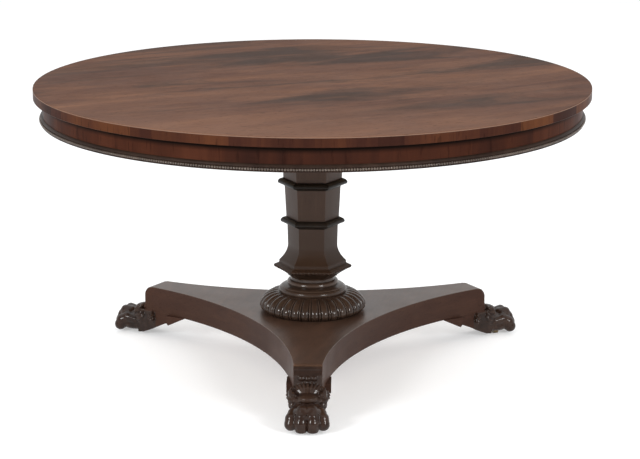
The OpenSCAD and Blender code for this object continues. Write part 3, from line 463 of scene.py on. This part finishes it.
# The lip is 2.2 mm higher than its CAD node, and the flare is shorter by as much
SEAM = span("column_lip")[1] + 2.2
shaft("upper_shaft", UPPER_R)
collar("upper_collar", UPPER_R[0], MIDDLE_R[1])
shaft("middle_shaft", MIDDLE_R)
collar("lower_collar", MIDDLE_R[0], LOWER_R[1])
flared_shaft("lower_shaft", LOWER_R, SEAM)
column_lip("column_lip", SEAM)


# The turned neck, cushion and ring

def turned_piece(node, outline):
    """A round piece whose outline counts its heights from its own foot."""
    verts, faces = wrap(turned_rows(raised(span(node)[0], outline)))
    make(node + "_turned", verts, faces, TURNED_WOOD, "pedestal", (node,))


turned_piece("turned_neck", [(65.2, 0.0), (64.6, 2.0), (63.2, 4.0), (60.6, 5.6), (57.0, 6.6), (56.4, 13.0)])
turned_piece("turned_cushion", [(80.5, 0.0), (79.8, 1.2), (76.5, 2.6), (72.0, 3.8), (67.6, 5.0), (64.6, 6.2),
                                (64.9, 7.4), (65.5, 9.0), (65.6, 10.6), (65.2, 12.0)])
turned_piece("cushion_ring", [(84.5, 0.0), (86.0, 1.6), (87.0, 4.4)] + bulge(77.0, 5.6, 10.0, 8.4, 12))


# The gadrooned collar

LOBES, LOBE_STEPS = 32, 18
LOBE_PHASE = -90.0 + 3.7


def gadroon_collar(node):
    """Lobes that swell outwards and roll under, with a thin reed between each two."""
    low, high = span(node)
    tip = low + 13.5
    outline = raised(low, [(121.0, 0.0), (124.0, 1.4), (129.0, 5.0), (133.0, 9.0)])
    outline = np.asarray(outline + bulge(84.0, tip, 51.0, high - tip, 34))
    angles = np.linspace(0.0, 360.0, LOBES * LOBE_STEPS, endpoint=False)
    phase = (angles - LOBE_PHASE) * LOBES / 360.0
    # 0 in the middle of a lobe and 1 in the middle of a reed
    across = np.abs((phase + 0.5) % 1.0 - 0.5) * 2.0
    lobe = np.sqrt(np.clip(1.0 - (across / 0.76) ** 2, 0.0, 1.0))
    reed = 0.80 * np.sqrt(np.clip(1.0 - ((across - 1.0) / 0.22) ** 2, 0.0, 1.0))
    relief = np.maximum(lobe, reed)
    # How deep the gaps are along the outline, least at the neck and in the first rows, which roll under
    radius = outline[:, 0]
    depth = np.interp(radius, [84.0, 90.0, 100.0, 136.0], [0.0, 1.0, 2.8, 6.0])
    depth[:4] = [0.0, 2.0, 4.5, 5.6]
    steps = np.gradient(outline, axis=0)
    normals = np.stack([steps[:, 1], -steps[:, 0]], -1)
    normals /= np.linalg.norm(normals, axis=1, keepdims=True)
    cut = depth[:, None] * (1.0 - relief[None, :])
    ring_r = radius[:, None] - normals[:, :1] * cut + 1.0
    ring_z = np.clip(outline[:, 1:] - normals[:, 1:] * cut, low, high)
    turns = np.radians(angles)[None, :]
    verts, faces = wrap(np.stack([ring_r * np.cos(turns), ring_r * np.sin(turns), ring_z], -1))
    make(node + "_carved", verts, faces, TURNED_WOOD, "pedestal", (node,), 50.0)


gadroon_collar("gadroon_collar")


# The beaded moulding under the frieze

PEARLS, PEARL_R = 660, 3.1
MOULDING_STEPS = 360


def bead_moulding(node):
    """A turned fillet under the frieze with a row of pearls, which are painted lighter than the rest, partly
    as wear and partly as a painted highlight.
    """
    low = span(node)[0]
    outline = [(0.0, 0.0), (4.0, 0.0), (5.0, 0.8), (5.2, 2.0), (4.4, 3.0), (3.6, 3.8), (3.2, 5.6), (3.2, 8.4),
               (3.6, 9.6), (4.4, 10.4), (4.8, 12.0), (4.4, 13.8), (3.2, 15.6), (1.4, 17.4), (0.0, 18.0),
               (-1.0, 18.0), (-1.0, 0.0)]
    outline = raised(low, [(FRIEZE_R + proud, height) for proud, height in outline])
    verts, faces = wrap(turned_rows(outline, MOULDING_STEPS), caps=False)
    # The last row of the outline joins the first
    last = (len(outline) - 1) * MOULDING_STEPS
    for j in range(MOULDING_STEPS):
        k = (j + 1) % MOULDING_STEPS
        faces.append([last + j, last + k, k, j])
    fillet_faces = len(faces)
    parts = [(verts, faces)]
    row_r = FRIEZE_R + 5.0
    for i in range(PEARLS):
        a = 2.0 * math.pi * i / PEARLS
        centre = (row_r * math.cos(a), row_r * math.sin(a), low + 6.6)
        parts.append(ball(centre, (PEARL_R, PEARL_R, PEARL_R), 8))
    verts, faces = join(parts)
    piece = make(node + "_carved", verts, faces, MOULDING_WOOD, "top", (node,), 50.0)
    piece.data.materials.append(WORN_AND_HIGHLIT_PEARLS)
    pearl_faces = (np.arange(len(faces)) >= fillet_faces).astype(np.int32)
    piece.data.polygons.foreach_set("material_index", pearl_faces)


bead_moulding("bead_moulding")


# Carved feet: a distance field, meshed where it is zero. Each foot is carved once, with u outward
# from the end of the arm, v across and w up from the floor, and copied to the three legs. Points of
# its forms are (u, v, w), and (u, v, w, radius) in the bent bars

END_U, END_ROUND = 25.5, 26.0


def grid(low, high, step):
    """The u, v and w of the corners of cells that fill a box."""
    axes = [np.arange(a, b + step, step, dtype=np.float32) for a, b in zip(low, high)]
    return np.meshgrid(*axes, indexing="ij")


def near_ellipsoid(p, centre, radii):
    """Distance to an ellipsoid, right at its surface and nearly right elsewhere."""
    k0 = np.sqrt(sum(((p[i] - centre[i]) / radii[i]) ** 2 for i in range(3)))
    k1 = np.sqrt(sum(((p[i] - centre[i]) / radii[i] ** 2) ** 2 for i in range(3))) + 1e-6
    return k0 * (k0 - 1.0) / k1


def near_limb(p, a, b, ra, rb):
    """Distance to a round bar from a to b whose radius changes from ra to rb."""
    ab = np.subtract(b, a)
    t = sum((p[i] - a[i]) * ab[i] for i in range(3)) / float(ab @ ab)
    t = np.clip(t, 0.0, 1.0)
    gap = np.sqrt(sum((p[i] - a[i] - t * ab[i]) ** 2 for i in range(3)))
    return gap - (ra + (rb - ra) * t)


def blend(a, b, k):
    """Two bodies as one, with a hollow of about k where they meet."""
    h = np.clip(0.5 + 0.5 * (b - a) / k, 0.0, 1.0)
    return b + (a - b) * h - k * h * (1.0 - h)


def cut_away(a, b, k):
    """Body a without body b."""
    return -blend(-a, b, k)


def net(p, field, step):
    """Verts and quads on the zero surface: one vertex in each cell that the surface crosses."""
    inside = field < 0.0
    origin = np.array([axis.flat[0] for axis in p])
    cells = tuple(n - 1 for n in field.shape)
    corners = [(i, j, k) for i in (0, 1) for j in (0, 1) for k in (0, 1)]
    count = sum(inside[i:i + cells[0], j:j + cells[1], k:k + cells[2]].astype(np.int8) for i, j, k in corners)
    at = np.argwhere((count > 0) & (count < 8))
    index = np.full(cells, -1)
    index[tuple(at.T)] = np.arange(len(at))
    total, hits = np.zeros((len(at), 3)), np.zeros(len(at))
    for a in corners:
        for axis in range(3):
            if a[axis]:
                continue
            b = tuple(1 if i == axis else a[i] for i in range(3))
            fa, fb = field[tuple((at + a).T)], field[tuple((at + b).T)]
            crossed = (fa < 0.0) != (fb < 0.0)
            t = np.where(crossed, fa / np.where(crossed, fa - fb, 1.0), 0.0)
            spot = np.repeat(np.array(a, float)[None, :], len(at), 0)
            spot[:, axis] += t
            total[crossed] += spot[crossed]
            hits[crossed] += 1.0
    verts = origin + step * (at + total / hits[:, None])
    quads = []
    for axis in range(3):
        u, v = (axis + 1) % 3, (axis + 2) % 3
        low = [slice(None)] * 3
        high = [slice(None)] * 3
        low[axis], high[axis] = slice(0, -1), slice(1, None)
        for outward in (False, True):
            here, there = inside[tuple(low)], inside[tuple(high)]
            edges = np.argwhere((here & ~there) if outward else (~here & there))
            keep = (edges[:, u] > 0) & (edges[:, v] > 0) & (edges[:, u] < cells[u]) & (edges[:, v] < cells[v])
            edges = edges[keep]
            back_u, back_v = np.eye(3, dtype=int)[u], np.eye(3, dtype=int)[v]
            ring = [index[tuple((edges - s).T)] for s in (0 * back_u, back_u, back_u + back_v, back_v)]
            ring = np.stack(ring if outward else ring[::-1], -1)
            quads.append(ring)
    return verts, np.concatenate(quads)


def largest(verts, quads):
    """Leaves out the closed pockets inside the body."""
    label = np.arange(len(verts))
    settled = False
    while not settled:
        lower = label.copy()
        np.minimum.at(lower, quads.ravel(), np.repeat(label[quads].min(1), 4))
        lower = lower[lower]
        settled = (lower == label).all()
        label = lower
    keep = label == np.bincount(label).argmax()
    number = np.cumsum(keep) - 1
    return verts[keep], number[quads[keep[quads[:, 0]]]]


def relax(verts, quads, rounds, amount):
    """Evens out the steps of the grid."""
    ends = np.concatenate([quads[:, [0, 1]], quads[:, [1, 2]], quads[:, [2, 3]], quads[:, [3, 0]]])
    ends = np.concatenate([ends, ends[:, ::-1]])
    number = np.bincount(ends[:, 0], minlength=len(verts))[:, None]
    for _ in range(rounds):
        pull = np.stack([np.bincount(ends[:, 0], verts[ends[:, 1], i], len(verts)) for i in range(3)], -1)
        verts = verts + amount * (pull / number - verts)
    return verts


def limbs(q, points, k):
    """A bent round bar through points (u, v, w, radius)."""
    bar = None
    for a, b in zip(points, points[1:]):
        limb = near_limb(q, a[:3], b[:3], a[3], b[3])
        bar = limb if bar is None else blend(bar, limb, k)
    return bar


def leg_end(q):
    """The flat end of the leg, rounded on top, with a thin bead across it and a ridge of lumps."""
    u, side, w = q
    qu, qw = u - (END_U - END_ROUND), w - (PLATFORM_H - END_ROUND)
    block = np.minimum(np.maximum(qu, qw), 0.0) + np.hypot(np.maximum(qu, 0.0), np.maximum(qw, 0.0))
    block = block - END_ROUND
    block = np.maximum(np.maximum(block, side - (ARM_W - 0.03 * u)), 60.0 - w)
    block = blend(block, near_limb(q, (14.2, 0.0, 133.0), (14.2, 34.0, 133.0), 1.0, 1.0), 1.0)
    for v0, r in ((0.0, 8.5), (15.0, 7.5)):
        block = blend(block, near_ellipsoid(q, (23.5, v0, 109.0), (r, 9.0, 6.5)), 1.2)
    return block


def paw_body(q):
    """The heel, whose sole rises towards the back, the ankle, the pad and the knuckles."""
    u, side, w = q
    sole = np.interp(u.ravel(), [-14.0, 14.0, 34.0, 60.0, 142.0], [30.0, 16.0, 8.0, 5.0, 5.0])
    sole = sole.reshape(u.shape)
    heel = np.maximum(side - (34.0 + 0.05 * w), (sole - w) * 0.9)
    heel = np.maximum(heel, np.maximum(u - 50.0, -10.0 - u))
    heel = np.maximum(heel, w - 74.0)
    ankle = near_limb(q, (26.0, 12.0, 42.0), (64.0, 12.0, 36.0), 26.0, 24.0)
    body = blend(heel, ankle, 8.0)
    body = blend(body, near_ellipsoid(q, (76.0, 0.0, 23.0), (42.0, 42.0, 19.0)), 7.0)
    return blend(body, near_ellipsoid(q, (96.0, 0.0, 44.5), (28.0, 34.0, 21.0)), 5.0)


def add_toes(body, q):
    """Two toes on each side of the middle, and the grooves between the four."""
    inner = limbs(q, ((86.0, 8.5, 55.0, 11.0), (105.0, 11.0, 53.5, 13.5), (113.0, 12.5, 41.0, 14.0),
                      (117.0, 14.0, 26.0, 15.5), (115.0, 13.5, 14.0, 15.0)), 3.0)
    outer = limbs(q, ((62.0, 30.0, 38.0, 12.0), (86.0, 32.0, 42.0, 13.0), (100.0, 36.0, 33.0, 15.0),
                      (105.0, 38.0, 21.0, 15.5)), 3.0)
    middle_groove = limbs(q, ((88.0, 0.0, 70.0, 0.6), (112.0, 0.0, 59.0, 1.2), (130.0, 0.0, 40.0, 1.4),
                              (131.0, 0.0, 4.0, 1.4)), 1.0)
    side_groove = limbs(q, ((84.0, 24.0, 60.0, 0.6), (104.0, 24.0, 54.0, 1.2), (119.0, 26.5, 42.0, 1.6),
                            (127.0, 27.5, 26.0, 1.8), (125.0, 27.5, 4.0, 1.8)), 1.0)
    shape = blend(blend(body, inner, 3.0), outer, 3.5)
    return cut_away(cut_away(shape, middle_groove, 1.2), side_groove, 1.6)


def add_tuft(shape, q):
    """A crescent of hair, a fan of locks on the flat end and a smooth boss in front of them."""
    shape = blend(shape, near_ellipsoid(q, (46.0, 0.0, 62.0), (22.0, 38.0, 12.0)), 1.5)
    fan = near_ellipsoid(q, (30.0, 0.0, 76.0), (11.0, 29.0, 13.0))
    for turn in np.radians([0.0, 17.0, 34.0, 51.0, 68.0, 85.0]):
        out, up = math.sin(turn), math.cos(turn)
        lock = limbs(q, ((48.0 - 5.0 * out, 15.0 * out, 73.0 + 5.5 * up, 2.6),
                         (35.0, 25.0 * out, 77.0 + 10.0 * up, 4.2),
                         (25.0, 35.0 * out, 79.0 + 17.0 * up, 3.6)), 1.0)
        fan = blend(fan, lock, 0.9)
    shape = blend(shape, fan, 1.2)
    return blend(shape, near_ellipsoid(q, (51.0, 0.0, 67.0), (25.0, 26.0, 12.5)), 1.0)


def side_curls(q):
    """A mass of hair down each side with an arched lock on top, waved in curves about one point."""
    u, side, w = q
    mass = near_ellipsoid(q, (41.0, 34.0, 56.0), (16.0, 12.0, 25.0))
    arch = limbs(q, ((26.0, 34.0, 88.0, 3.0), (40.0, 40.5, 80.0, 5.0), (50.0, 42.0, 68.0, 5.5),
                     (46.0, 38.0, 54.0, 4.0)), 2.0)
    sweep = np.hypot(u - 74.0, w - 106.0)
    waves = 1.2 * np.clip((side - 24.0) / 10.0, 0.0, 1.0) * np.cos(sweep * (2.0 * np.pi / 10.5))
    return blend(mass, arch, 2.5) + waves


def heel_leaf(q):
    """A leaf at each side of the heel, in front of the bracket."""
    side, w = q[1:]
    leaf = near_ellipsoid(q, (-2.0, 43.0, 57.0), (7.0, 9.5, 14.0))
    return leaf + 1.3 * np.cos((w + 0.5 * side) * (2.0 * np.pi / 9.0))


def foot_field(p):
    """The end of the leg and the whole foot as one body, alike on both sides."""
    q = (p[0], np.abs(p[1]), p[2])
    shape = blend(add_toes(paw_body(q), q), leg_end(q), 2.0)
    shape = blend(add_tuft(shape, q), side_curls(q), 1.5)
    return blend(shape, heel_leaf(q), 1.5)


def carve_knee(step):
    """The part of the foot field above the underside of the platform."""
    p = grid((-2.0, -52.0, PLATFORM_Z - 4.0), (82.0, 52.0, PLATFORM_H + 4.0), step)
    return p, np.maximum(foot_field(p), np.maximum(PLATFORM_Z - p[2], -p[0]))


def carve_paw(step):
    """The part of the foot field below that, with the round recess for the castor."""
    sole, back, recess_u, recess_r, recess_top = 5.0, -12.0, 76.0, 32.0, 40.0
    p = grid((-14.0, -60.0, 0.0), (142.0, 60.0, PLATFORM_Z + 4.0), step)
    recess = np.maximum(np.hypot(p[0] - recess_u, p[1]) - recess_r, p[2] - recess_top)
    limits = np.maximum(np.maximum(sole - p[2], p[2] - PLATFORM_Z), back - p[0])
    return p, np.maximum(np.maximum(foot_field(p), limits), -recess)


def place_foot(name, carved, leg, node):
    """A copy at one leg. Its faces in line with the platform have the platform's veneers."""
    verts, quads = carved
    a = math.radians(LEG_ANGLES[leg])
    x = ARM_L + verts[:, 0]
    placed = np.stack([x * math.cos(a) - verts[:, 1] * math.sin(a),
                       x * math.sin(a) + verts[:, 1] * math.cos(a), verts[:, 2]], -1)
    piece = make(name, placed, quads.tolist(), CARVED_WOOD, "pedestal", (node,), 60.0)
    piece.data.materials.append(PLATFORM_WOOD)
    piece.data.materials.append(PLATFORM_TOP_WOOD)
    u, v, w = verts[quads].mean(1).T
    on_side = (w > PLATFORM_Z + 0.5) & (u < 25.0) & (np.abs(v) > ARM_W - 1.6)
    on_top = w >= PLATFORM_H - 3.5
    slots = np.where(on_top, 2, np.where(on_side, 1, 0))
    piece.data.polygons.foreach_set("material_index", slots.astype(np.int32))


STEP = 1.2
for part, carve in (("knee", carve_knee), ("paw", carve_paw)):
    points, field = carve(STEP)
    foot_verts, foot_quads = largest(*net(points, field, STEP))
    foot_verts = relax(foot_verts, foot_quads, 1, 0.4)
    foot_verts[np.abs(foot_verts[:, 2] - PLATFORM_Z) < 0.9 * STEP, 2] = PLATFORM_Z
    if part == "knee":
        foot_verts[foot_verts[:, 0] < 0.9 * STEP, 0] = 0.0
    for leg in LEG_ANGLES:
        place_foot("carved_%s_%s" % (part, leg), (foot_verts, foot_quads), leg, "%s_%s" % (part, leg))


# Floor, light and camera

def pale_floor(half):
    """A floor far larger than the picture, so that it has no edge in view."""
    mesh = bpy.data.meshes.new("floor")
    corners = [(-half, -half, 0.0), (half, -half, 0.0), (half, half, 0.0), (-half, half, 0.0)]
    mesh.from_pydata(corners, [], [(0, 1, 2, 3)])
    floor = bpy.data.objects.new("floor", mesh)
    bpy.context.scene.collection.objects.link(floor)
    paper = Shader("pale_floor", Roughness=0.9, **{"Specular IOR Level": 0.1, "Emission Strength": 0.385,
                                                   "Emission Color": (1.0, 1.0, 1.0, 1.0)})
    clouds = paper.noise(paper.place((0.5, 0.5, 0.5)), 1.0, 2.0)
    paper.set(Base_Color=paper.ramp(clouds, [(0.3, (0.655, 0.668, 0.678)), (0.7, (0.675, 0.688, 0.698))]))
    mesh.materials.append(paper.material)


def studio_world():
    """Grey surroundings, darker on the camera's side of the table than behind it."""
    world = bpy.data.worlds.new("studio")
    bpy.context.scene.world = world
    world.use_nodes = True
    nodes = world.node_tree.nodes
    nodes.clear()
    output = nodes.new("ShaderNodeOutputWorld")
    background = nodes.new("ShaderNodeBackground")
    ramp = nodes.new("ShaderNodeValToRGB")
    split = nodes.new("ShaderNodeSeparateXYZ")
    direction = nodes.new("ShaderNodeTexCoord")
    shift = nodes.new("ShaderNodeMath")
    shift.operation = "MULTIPLY_ADD"
    shift.inputs[1].default_value = 0.5
    shift.inputs[2].default_value = 0.5
    for element, (position, grey) in zip(ramp.color_ramp.elements, ((0.22, 0.30), (0.55, 0.95))):
        element.position = position
        element.color = (grey, grey, grey, 1.0)
    background.inputs["Strength"].default_value = 1.0
    for a, b in ((direction.outputs["Generated"], split.inputs[0]), (split.outputs["Y"], shift.inputs[0]),
                 (shift.outputs[0], ramp.inputs[0]), (ramp.outputs[0], background.inputs["Color"]),
                 (background.outputs[0], output.inputs["Surface"])):
        world.node_tree.links.new(a, b)


def softbox(name, at, target, size, power):
    light = bpy.data.lights.new(name, "AREA")
    light.shape = "RECTANGLE"
    light.size, light.size_y = size
    light.energy = power
    lamp = bpy.data.objects.new(name, light)
    lamp.location = at
    lamp.rotation_mode = "QUATERNION"
    lamp.rotation_quaternion = (Vector(target) - Vector(at)).to_track_quat("-Z", "Y")
    bpy.context.scene.collection.objects.link(lamp)


def photo_camera():
    """The camera as fitted to the photo. It stands a little to the right of the front leg's plane."""
    focal_px, photo_px, sensor = 2289.4, 640.0, 36.0
    pitch, yaw, around = math.radians(13.669), math.radians(0.19), math.radians(1.33)
    distance, eye = 5.688, 1.732
    forward = Vector((math.sin(yaw) * math.cos(pitch), math.cos(yaw) * math.cos(pitch), -math.sin(pitch)))
    right = Vector((math.cos(yaw), -math.sin(yaw), 0.0))
    up = right.cross(forward)
    pose = Matrix((right, up, -forward)).transposed().to_4x4()
    pose.translation = Vector((0.0, -distance, eye))
    lens = bpy.data.cameras.new("camera")
    lens.sensor_width = sensor
    lens.lens = focal_px / photo_px * sensor
    camera = bpy.data.objects.new("camera", lens)
    bpy.context.scene.collection.objects.link(camera)
    camera.matrix_world = Matrix.Rotation(around, 4, "Z") @ pose
    bpy.context.scene.camera = camera
    bpy.context.scene.view_settings.view_transform = "Standard"


pale_floor(60.0)
studio_world()
softbox("softbox_left", (-3.18, -3.70, 2.15), (0.0, 0.0, 0.4), (1.4, 1.0), 158.0)
softbox("softbox_right", (3.18, -3.70, 2.15), (0.0, 0.0, 0.4), (1.4, 1.0), 140.0)
softbox("overhead", (0.0, 0.5, 5.0), (0.0, 0.0, 0.0), (10.0, 10.0), 235.0)
photo_camera()
